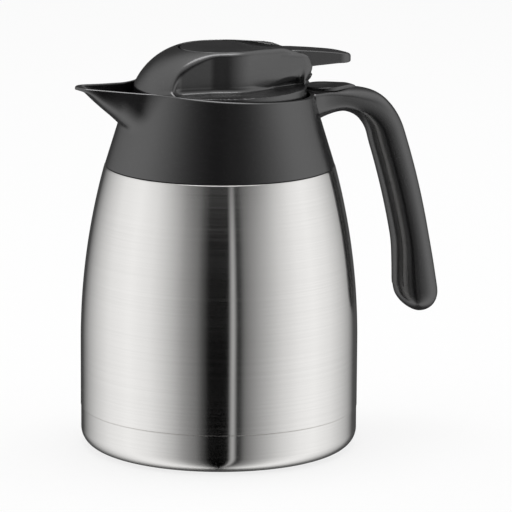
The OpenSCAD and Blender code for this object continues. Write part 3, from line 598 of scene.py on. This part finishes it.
def collar_shape(x, y, z, inset=0.0):
    """Distance to the collar's outside, or to its inside when it is inset by the wall."""
    cone = (np.hypot(x, y) - (CONE_R - CONE_SLOPE * (z - JOINT_Z)) + inset) * 0.955
    spout = beak(-x, y, z, inset)
    if inset:
        spout = np.maximum(spout, SHELF_Z - z)
    return join(cone, spout, np.interp(z, *zip(*JOIN)) + inset * 0.6)


print("rim radius", round(RIM_R, 1), "mm, spout reaches", BEAK[-2][0], "mm from the axis")

# %% [markdown]
# Following an outline means stepping along it, always at a right angle to the slope of the distance,
# and stepping back onto it each time. All levels are followed at once, from the spout's tip to the
# part where the collar is a plain circle again.

# %% Follow the outlines
FRONT, BACK, CLEAR = 60, 56, math.radians(75)
PACE, PACES = 0.3, 430


def level_z(share, x):
    """Height of a level over the place x: level 0 is the joint, level 1 the falling rim."""
    return JOINT_Z + share * (RIM_Z - JOINT_Z - RIM_FALL * x - np.interp(-x, *zip(*DIP)))


def rings_at(shares, inset):
    """Rings of points round the collar, one for each level."""
    shares = np.asarray(shares, float)

    def flat(x, y):
        return collar_shape(x, y, level_z(shares, x), inset)

    def tilt(x, y):
        ways = ((TINY, 0), (0, TINY))
        return [(flat(x + dx, y + dy) - flat(x - dx, y - dy)) / (2 * TINY) for dx, dy in ways]

    low, high = np.full(len(shares), -84.0), np.full(len(shares), -30.0)
    for _ in range(40):
        mid = (low + high) / 2
        outside = flat(mid, np.zeros_like(mid)) > 0
        low, high = np.where(outside, mid, low), np.where(outside, high, mid)
    x, y = low, np.zeros_like(low)
    path = [(x, y)]
    for _ in range(PACES):
        gx, gy = tilt(x, y)
        size = np.maximum(np.hypot(gx, gy), 1e-6)
        x, y = x + PACE * gy / size, y - PACE * gx / size
        if len(path) == 1:
            y = np.abs(y)
        for _ in range(2):
            gx, gy = tilt(x, y)
            off = flat(x, y) / np.maximum(gx * gx + gy * gy, 0.05)
            x, y = x - np.clip(off * gx, -0.5, 0.5), y - np.clip(off * gy, -0.5, 0.5)
        path.append((x, y))
    px, py = np.array([p[0] for p in path]), np.array([p[1] for p in path])
    rings = []
    for k, share in enumerate(shares):
        angle = np.arctan2(py[:, k], -px[:, k])
        end = int(np.argmax(angle > CLEAR))
        way_x, way_y = px[:end + 1, k], py[:end + 1, k]
        lengths = np.concatenate([[0], np.cumsum(np.hypot(np.diff(way_x), np.diff(way_y)))])
        at = np.linspace(0, lengths[-1], FRONT + 1)
        turn = np.linspace(angle[end], math.pi, BACK + 1)[1:]
        radius = CONE_R - inset - CONE_SLOPE * (level_z(share, 0) - JOINT_Z)
        for _ in range(6):
            radius = CONE_R - inset - CONE_SLOPE * (level_z(share, -radius * np.cos(turn)) - JOINT_Z)
        half_x = np.concatenate([np.interp(at, lengths, way_x), -radius * np.cos(turn)])
        half_y = np.concatenate([np.interp(at, lengths, way_y), radius * np.sin(turn)])
        ring_x = np.concatenate([half_x, half_x[-2:0:-1]])
        ring_y = np.concatenate([half_y, -half_y[-2:0:-1]])
        rings.append(np.stack([ring_x, ring_y, level_z(share, ring_x)], axis=1))
    return rings


print("each outline is walked in steps of", PACE, "mm and gets", 2 * (FRONT + BACK), "points")

# %% [markdown]
# Skinning the rings is one extrusion for each: a loop of edges is pulled out and its new vertices are
# put in their places. A number on each vertex says which column it belongs to. The rim's edge is rounded
# by two rings on each side that are drawn in a little.

# %% Skin the collar
RIM_LEVELS, ROUND_OUT, ROUND_IN = [0.993, 1.0], [0.12, 0.55], [-0.4, -0.1]


def lofted(rings, closed=False):
    """A mesh through rings with the same number of points, each extruded from the one before."""
    bm = bmesh.new()
    column = bm.verts.layers.int.new("column")
    made = bmesh.ops.create_circle(bm, cap_ends=False, segments=len(rings[0]), radius=1)["verts"]
    for i, v in enumerate(made):
        v[column] = i
        v.co = Vector(rings[0][i]) * MM
    edges = list(bm.edges)
    for ring in rings[1:] + (rings[:1] if closed else []):
        out = bmesh.ops.extrude_edge_only(bm, edges=edges)["geom"]
        fresh = {g for g in out if isinstance(g, bmesh.types.BMVert)}
        for v in fresh:
            v.co = Vector(ring[v[column]]) * MM
        edges = [g for g in out if isinstance(g, bmesh.types.BMEdge) and set(g.verts) <= fresh]
    return bm


def drawn_in(ring, by):
    """A ring moved towards its inside by a distance, in plan."""
    ahead, behind = np.roll(ring, -1, axis=0), np.roll(ring, 1, axis=0)
    along = (ahead - behind)[:, :2]
    along /= np.linalg.norm(along, axis=1)[:, None]
    moved = ring.copy()
    moved[:, :2] += np.stack([along[:, 1], -along[:, 0]], axis=1) * by
    return moved


LEVELS = [s for run in ((0, 0.4, 4), (0.44, 0.88, 23), (0.892, 0.984, 12)) for s in np.linspace(*run)]
wall = rings_at([0.004] + LEVELS[1:], 0.0)
wall += [drawn_in(ring, by) for ring, by in zip(rings_at(RIM_LEVELS, 0.0), ROUND_OUT)]
wall += [drawn_in(ring, by) for ring, by in zip(rings_at(RIM_LEVELS[::-1], WALL), ROUND_IN)]
wall += rings_at(LEVELS[::-1], WALL)
mesh = mesh_of(lofted(wall, closed=True), "collar_wall")
print("collar rings:", len(wall), "of", len(wall[0]), "points")

# %% [markdown]
# Inside the collar stand the parts that a user never sees from here: the throat that the stopper
# screws into, its floor on the mouth of the flask, the locking ribs and the tongue for the handle.

# %% Add the throat, ribs and tongue
THROAT_R, FLOOR_Z = 39.38, 169.6
RIB_ARC, RIB_TURNS = 40, (60, 180, 300)
TONGUE_AT, TONGUE_SIZE = (0.0582, 0, 0.179), (0.0171, 0.0112, 0.0056)
throat = spun([
    (34.0, FLOOR_Z), (41.48, FLOOR_Z), (41.48, SHELF_Z - 2), (50.2, SHELF_Z - 2),
    (49.9, SHELF_Z - 0.1), (THROAT_R + 0.5, SHELF_Z), (THROAT_R, SHELF_Z - 0.5),
    (THROAT_R, FLOOR_Z + 1.8), (34.0, FLOOR_Z + 1.8)
], 128)
for middle_at in RIB_TURNS:
    start = math.radians(middle_at - RIB_ARC / 2)
    corners = [(-1.2, 175.8), (0.3, 175.8), (0.3, 177.5), (-1.2, 177.5)]
    cos, sin = math.cos(start), math.sin(start)
    verts = [
        throat.verts.new(((THROAT_R + r) * MM * cos, (THROAT_R + r) * MM * sin, z * MM)) for r, z in corners
    ]
    bmesh.ops.spin(
        throat, geom=[throat.faces.new(verts)], cent=(0, 0, 0), axis=(0, 0, 1),
        angle=math.radians(RIB_ARC), steps=16, use_merge=False, use_duplicate=False
    )
tongue = bmesh.ops.create_cube(throat, size=1, matrix=Matrix.Translation(TONGUE_AT))["verts"]
to_middle = Matrix.Translation([-v for v in TONGUE_AT])
bmesh.ops.scale(throat, verts=tongue, vec=TONGUE_SIZE, space=to_middle)
throat.from_mesh(mesh)
bpy.data.meshes.remove(mesh)
as_piece("collar_with_spout", mesh_of(throat, "collar_with_spout"), "collar", smooth=35)

# %% [markdown]
# ## The handle
# The hook is moulded plastic: a flat arm leaves the collar with a flared root, bends down and swells
# into the grip. It is a sweep: the same rounded section, carried along a middle line and given its own
# thickness and width at each place. A curve with a bevel object would do for an even tube, but here the
# finger side and the back change by themselves, so each has its own table of (length, size).

# %% List the handle's sizes
ARM_X, ARM_Z, ARM_LEN, BEND_R, BEND, GRIP_R, GRIP_LEN = 47.0, 180.1, 18.35, 29.4, 71.9, 417.0, 99.1
BEND_LEN = BEND_R * math.radians(BEND)
HANDLE_LEN = ARM_LEN + BEND_LEN + GRIP_LEN
BACK_SIDE = [
    (0, 5.9), (13, 5.9), (ARM_LEN, 5.4), (ARM_LEN + 10, 7.1), (ARM_LEN + 18, 9.2),
    (ARM_LEN + BEND_LEN, 8.7), (HANDLE_LEN - 40, 9.0), (HANDLE_LEN - 15, 10.0), (HANDLE_LEN, 11.6)
]
FINGER_SIDE = [
    (0, 13), (8, 9.4), (13, 7.6), (ARM_LEN, 6.5), (ARM_LEN + 18, 7.8), (ARM_LEN + BEND_LEN, 10.3),
    (HANDLE_LEN - 40, 10.1), (HANDLE_LEN - 15, 13), (HANDLE_LEN, 9.3)
]
WIDE = [
    (0, 15.5), (4, 13.2), (9, 12.2), (14, 11.6), (ARM_LEN + 18, 11.4), (ARM_LEN + BEND_LEN, 12),
    (HANDLE_LEN - 15, 12.8), (HANDLE_LEN, 12.8)
]
SQUARE = [(0, 4.5), (12, 4.5), (ARM_LEN, 3.2), (ARM_LEN + 8, 2.2)]
FINGER_SQUARE, TOE = 2.3, 12.4
print("handle length", round(HANDLE_LEN), "mm")

# %% [markdown]
# The middle line is a straight arm, a tight bend and a slightly curved grip. A section at a length along
# it is a rounded square: the higher its power, the flatter its sides. The arm starts nearly square,
# where it meets the collar, and the grip is a soft oval.

# %% Describe the middle line and the sections
def middle(u):
    """Place and downward angle of the handle's middle line at a length along it."""
    if u < ARM_LEN:
        return ARM_X + u, ARM_Z, 0.0
    full = math.radians(BEND)
    if u < ARM_LEN + BEND_LEN:
        a = (u - ARM_LEN) / BEND_R
        return ARM_X + ARM_LEN + BEND_R * math.sin(a), ARM_Z - BEND_R + BEND_R * math.cos(a), a
    a = full + (u - ARM_LEN - BEND_LEN) / GRIP_R
    return (
        ARM_X + ARM_LEN + BEND_R * math.sin(full) + GRIP_R * (math.sin(a) - math.sin(full)),
        ARM_Z - BEND_R + BEND_R * math.cos(full) - GRIP_R * (math.cos(full) - math.cos(a)), a
    )


def put(u, out, side):
    """A point beside the middle line: out from the hand's side, and sideways."""
    x, z, a = middle(u)
    return (x + out * math.sin(a), side, z + out * math.cos(a))


def half_sizes(u):
    """Thickness on both sides, half width and shift of the section at u, with the toe rounded off."""
    back, finger, wide = [float(soft_line(u, line, 4)) for line in (BACK_SIDE, FINGER_SIDE, WIDE)]
    past = max(0.0, (u - HANDLE_LEN + TOE) / TOE)
    k = math.sqrt(max(0.0, 1 - past * past))
    return back * k, finger * k, wide * k, (back - finger) / 2 * (1 - k)


def section(u, sides=40):
    """A rounded section whose finger side is flatter than its back."""
    back, finger, wide, shift = half_sizes(u)
    ring = []
    for i in range(sides):
        t = -math.tau * i / sides
        c, s = math.cos(t), math.sin(t)
        n = FINGER_SQUARE if c < 0 else float(soft_line(u, SQUARE, 2))
        out = math.copysign((finger if c < 0 else back) * abs(c) ** (2 / n), c) + shift
        ring.append(put(u, out, math.copysign(wide * abs(s) ** (2 / n), s)))
    return ring


print("grip is", round(sum(half_sizes(HANDLE_LEN - 40)[:2]), 1), "mm thick")

# %% [markdown]
# Sections stand close together in the bend and at the rounded toe, and further apart where little
# changes. They are skinned as the collar's rings are, both ends are closed, and subdivision smooths it.

# %% Sweep the handle
stations = list(np.linspace(-1.5, 16, 8)) + list(np.linspace(ARM_LEN, ARM_LEN + BEND_LEN, 15))
stations += list(np.linspace(ARM_LEN + BEND_LEN, HANDLE_LEN - TOE, 16))[1:]
toe_turns = (12, 24, 36, 48, 60, 70, 79, 86)
stations += [HANDLE_LEN - TOE * (1 - math.sin(math.radians(a))) for a in toe_turns]
bm = lofted([section(u) for u in stations])
bmesh.ops.holes_fill(bm, edges=[e for e in bm.edges if e.is_boundary])
handle = as_piece("handle_hook", mesh_of(bm, "handle_hook"), "handle", smooth=60)
finer = handle.modifiers.new("smooth", "SUBSURF")
finer.levels = finer.render_levels = 2
print("handle swept through", len(stations), "sections")

# %% [markdown]
# ## The strip inside the grip
# The grip is moulded hollow, and a long strip closes it on the finger side. It starts as a flat grid
# whose points are laid along the same sweep, a hair proud of the surface, so that only a fine line shows
# where it fits. The grid is then given its thickness.

# %% Lay the strip
STRIP_W, STRIP_T, PROUD = 8.0, 2.0, 0.04
u0, u1 = ARM_LEN + BEND_LEN * 0.55, HANDLE_LEN - TOE - 4
bm = bmesh.new()
bmesh.ops.create_grid(bm, x_segments=40, y_segments=8, size=1)
for v in bm.verts:
    u = u0 + (u1 - u0) * (v.co.x + 1) / 2
    side = v.co.y * STRIP_W
    back, finger, wide, shift = half_sizes(u)
    out = -finger * (1 - abs(side / wide) ** FINGER_SQUARE) ** (1 / FINGER_SQUARE) + shift
    v.co = Vector(put(u, out - PROUD, side)) * MM
bmesh.ops.recalc_face_normals(bm, faces=bm.faces)
outward = sum((f.normal for f in bm.faces), Vector())
if outward.x > 0:
    bmesh.ops.reverse_faces(bm, faces=bm.faces)
bmesh.ops.solidify(bm, geom=bm.faces[:], thickness=STRIP_T * MM)
as_piece("grip_strip", mesh_of(bm, "grip_strip"), "handle_inner_strip", smooth=50)
print("strip from", round(u0), "to", round(u1), "mm along the handle")

# %% [markdown]
# ## The lid
# The stopper's cover is the busiest moulding: a flat flange with a fine bead at its edge, a round hub, a
# hood that swells over the front between two finger pockets, and a bar that tapers to the back. All
# walls stand in concave fillets. Its distance is put together from those forms, and its CAD node is
# moved onto it. CREST is the top line from front to back, and TAIL says how far the bar's end is drawn
# in at each height.

# %% List the cover's sizes
FLANGE_R, LEDGE_Z, HUB_R, FLANK_W, POCKET_X = 44.877, 189.7, 24.5, 22.5, 34.98
HOOD_X, HOOD_Z, HOOD_R = 12.3, 176.4, 35.4
BAR_X, BAR_R = 39.577, 12.3
CREST = [
    (-2, 210.0), (8, 211), (16, 211), (21, 210.9), (27, 210.6), (31, 210.1), (33.5, 209.1), (37, 207.6),
    (40, 207.0), (46, 206.6), (52, 206.0)
]
TAIL = [
    (186, 8.0), (189.8, 6.0), (190.5, 4.6), (192, 3.0), (194, 1.8), (195, 1.2), (197, 0.4), (199, 0.0),
    (202.2, 1.1), (204.4, 2.3), (206, 4.0), (206.6, 5.6)
]
EDGE_ROUND = [(-20, 2.4), (-8, 1.3), (2, 2.0), (16, 3.2), (46, 2.6)]
FOOT_FILLET = [(-42, 1.0), (-32, 3.6), (8, 3.2), (24, 1.2), (46, 1.0)]
DRAFT, DRAFT_Z, CREST_FALL, CREST_FLAT = 0.03, 205, 0.14, 9
NOTCH_X, NOTCH_LEN, NOTCH_RISE, NOTCH_DEEP, NOTCH_END = 17, 23, 7.2, 4, 41.6
WELL_R, WELL_Z, SLOT_W, SLOT_X, SLOT_Z = 22.0, 203.6, 9.0, 22, 194.2
print("cover stands", round(max(z for _, z in CREST) - LEDGE_Z, 1), "mm over its flange")

# %% [markdown]
# The plan of hub, bar and hood is pulled up to the crest, with a little draft as a mould needs. A scoop
# under the bar leaves room for a finger, and a round well with a slot behind it takes the lever.

# %% Shape the stopper's cover
def cover_shape(x, y, z):
    """Distance to the outside of the stopper's cover."""
    r = np.hypot(x, y)
    draft = (DRAFT_Z - z) * DRAFT
    tail = np.interp(z, *zip(*TAIL))
    hub = bar_plan(x, y, HUB_R, BAR_R, BAR_X - tail) - draft * 0.5
    flank = join(np.abs(y) - FLANK_W - draft * 0.3, x + POCKET_X, 6.5)
    plan = melt(hub, np.maximum(flank, x + 4), 1.8)
    hood = np.hypot(np.maximum(r - HOOD_X, 0), z - HOOD_Z) - HOOD_R
    crest = z - soft_line(x, CREST, 2) + CREST_FALL * np.maximum(np.abs(y) - CREST_FLAT, 0)
    top = join(hood, np.maximum(crest, -x - 2), 2)
    depth = np.clip(-bar_plan(x, y, HUB_R, BAR_R, BAR_X), 0, NOTCH_DEEP)
    rise = np.clip((x - NOTCH_X) / NOTCH_LEN, 0, 1.1) ** 1.25 * NOTCH_RISE
    notch = meet(((z - LEDGE_Z) - rise * (1 - depth / NOTCH_DEEP)) * 0.6, x - NOTCH_END, 2.2)
    raised = meet(meet(plan, top, np.interp(x, *zip(*EDGE_ROUND))), -notch, 1.4)
    flange = meet(r - FLANGE_R, z - LEDGE_Z, 0.45)
    lip = np.hypot(r - FLANGE_R + 0.75, z - LEDGE_Z + 0.05) - 0.6
    flange = join(flange, lip, 0.5)
    body = join(flange, raised, np.interp(x, *zip(*FOOT_FILLET)))
    body = meet(body, r - FLANGE_R - np.where(x > 30, 9.0, 0.0), 0.4)
    body = np.maximum(body, 183.6 - z)
    well = np.maximum(bar_plan(x, y, WELL_R, SLOT_W, 30.0), WELL_Z - z)
    slot = np.maximum(np.maximum(np.abs(y) - SLOT_W, SLOT_X - x), SLOT_Z - z)
    return meet(body, -np.minimum(well, slot), 0.7)


soft_copy("lid_cover", "stopper_cover", cover_shape, 0.6, far=6.0)

# %% [markdown]
# ## The lever
# The lever rocks on a pin in the cover. Its round end is a shallow dish that lies in the hub, and its
# paddle stands out over the handle, where the thumb presses it. Skin touches it, so its edges are well
# rounded. It is made as the cover is, from a plan, a top line and an under line, and the dish is a
# large sphere that is cut away. The deep part behind the dish holds the pins.

# %% Shape the lever
DISC_R, DISC_Z, DISH, TIP_X, PADDLE_W = 21.0, 210.4, 1.8, 71.777, 8.0
DISH_R = ((DISC_R - 2) ** 2 + DISH ** 2) / (2 * DISH)
TOP = [
    (-24, 210.4), (9, 210.4), (20, 209.0), (28, 207.8), (34, 207.7), (38, 207.8), (51, 206.6), (62, 205.3),
    (68.8, 204.1), (71.8, 203.3)
]
UNDER = [
    (-24, 206.2), (21.5, 206.2), (23.5, 199.4), (32, 199.2), (38, 198.4), (48, 198.6), (62.8, 199.4),
    (72, 199.2)
]


def lever_shape(x, y, z):
    """Distance to the outside of the lever."""
    half = np.interp(x, [30, 38], [7.57, PADDLE_W])
    centre = TIP_X - PADDLE_W
    arm = np.where(x > centre, np.hypot(x - centre, y) - PADDLE_W, np.abs(y) - half)
    plan = np.minimum(bar_plan(x, y, DISC_R, 7.6, 30.0), np.maximum(arm, 27 - x))
    plan = np.where(z < UNDER[0][1], np.maximum(plan, np.abs(y) - half), plan)
    top = z - soft_line(x, TOP, 3)
    under = np.interp(x, *zip(*UNDER)) - z
    edge = np.interp(x, [24, 36], [0.8, 1.3])
    body = meet(meet(plan, top, edge), under, 0.9)
    dish = np.sqrt(x * x + y * y + (z - DISC_Z + DISH - DISH_R) ** 2) - DISH_R
    return meet(body, -dish, 0.8)


soft_copy("thumb_lever", "lever", lever_shape, 0.5, 1.2)

# %% [markdown]
# ## The thumb rest
# A small leaf-shaped cap closes the arm over the handle's screws and gives the thumb a hollow to rest
# in. Its point runs down into the bend. It is a third soft copy: a plan of two round ends, a top line,
# and a shallow sphere taken out. A fine voxel keeps its thin edge whole.

# %% Shape the thumb rest
REST_X, REST_R, REST_TIP, REST_LEN, REST_Z, HOLLOW_R, HOLLOW = 57.52, 10.5, 3.0, 14.5, 187.4, 34.0, 1.1
REST_TOP = [(46, REST_Z - 0.3), (54, REST_Z), (71, REST_Z), (74, 186.6), (76, 185.8)]


def rest_shape(x, y, z):
    """Distance to the outside of the thumb rest."""
    plan = bar_plan(x - REST_X, y, REST_R, REST_TIP, REST_LEN)
    top = z - soft_line(x, REST_TOP, 1.2)
    body = meet(meet(plan, top, 0.6), 185.4 - z, 0.2)
    dish = np.sqrt((x - REST_X) ** 2 + y * y + (z - REST_Z - HOLLOW_R + HOLLOW) ** 2) - HOLLOW_R
    return meet(body, -dish, 0.5)


soft_copy("thumb_dish", "thumb_rest", rest_shape, 0.35, 1.8)

# %% [markdown]
# ## The return spring
# A coil inside the stopper presses the valve shut, and it gets shorter as the valve rises. Its CAD mesh
# is right as it is, but a rigid coil would cut into the stopper. A copy of it rides on the stopper, with a
# mesh of its own; it is not squeezed by the valve's travel.

# %% Copy the spring onto the stopper
bm = bmesh.new()
bm.from_mesh(frame["nodes"]["return_spring"].data)
spring = as_piece("closing_spring", mesh_of(bm, "closing_spring"), "return_spring", body="stopper")
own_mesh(spring)
